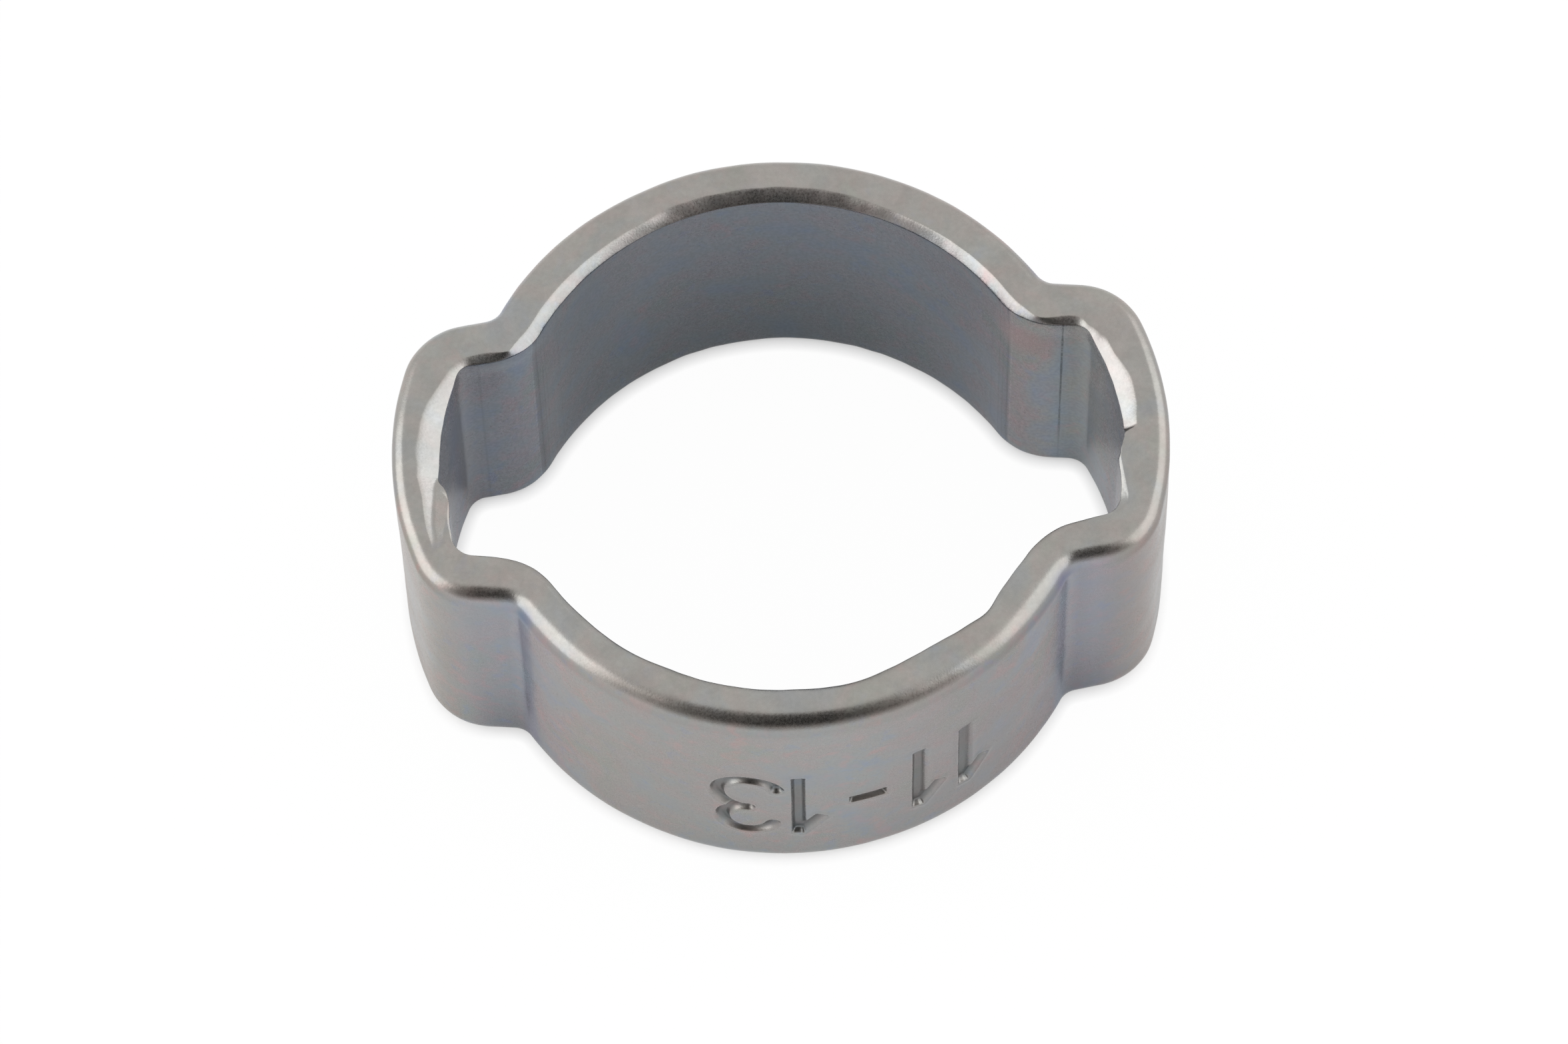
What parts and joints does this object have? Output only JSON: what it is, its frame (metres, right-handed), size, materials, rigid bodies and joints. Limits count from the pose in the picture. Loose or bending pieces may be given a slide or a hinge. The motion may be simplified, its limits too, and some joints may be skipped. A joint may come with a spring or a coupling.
{
  "type": "ear hose clamp",
  "caption": "One-piece zinc-plated steel hose clamp: a round band with two hollow ears on opposite sides that are pinched to tighten it round a hose.",
  "frame": {"origin": "on the bore's axis, in the plane of the end face that the clamp lies on", "axes": "+Z along the bore, away from the end face it lies on; +X from ear to ear; +Y towards the lobe without the forming step beside it"},
  "size_m": [0.0186, 0.0152, 0.0075],
  "materials": {
    "zinc_plated_steel": "bright zinc plating on tumbled steel, faintly iridescent passivation"
  },
  "bodies": {
    "root": {"clamp_band": "zinc_plated_steel"}
  },
  "joints": []
}
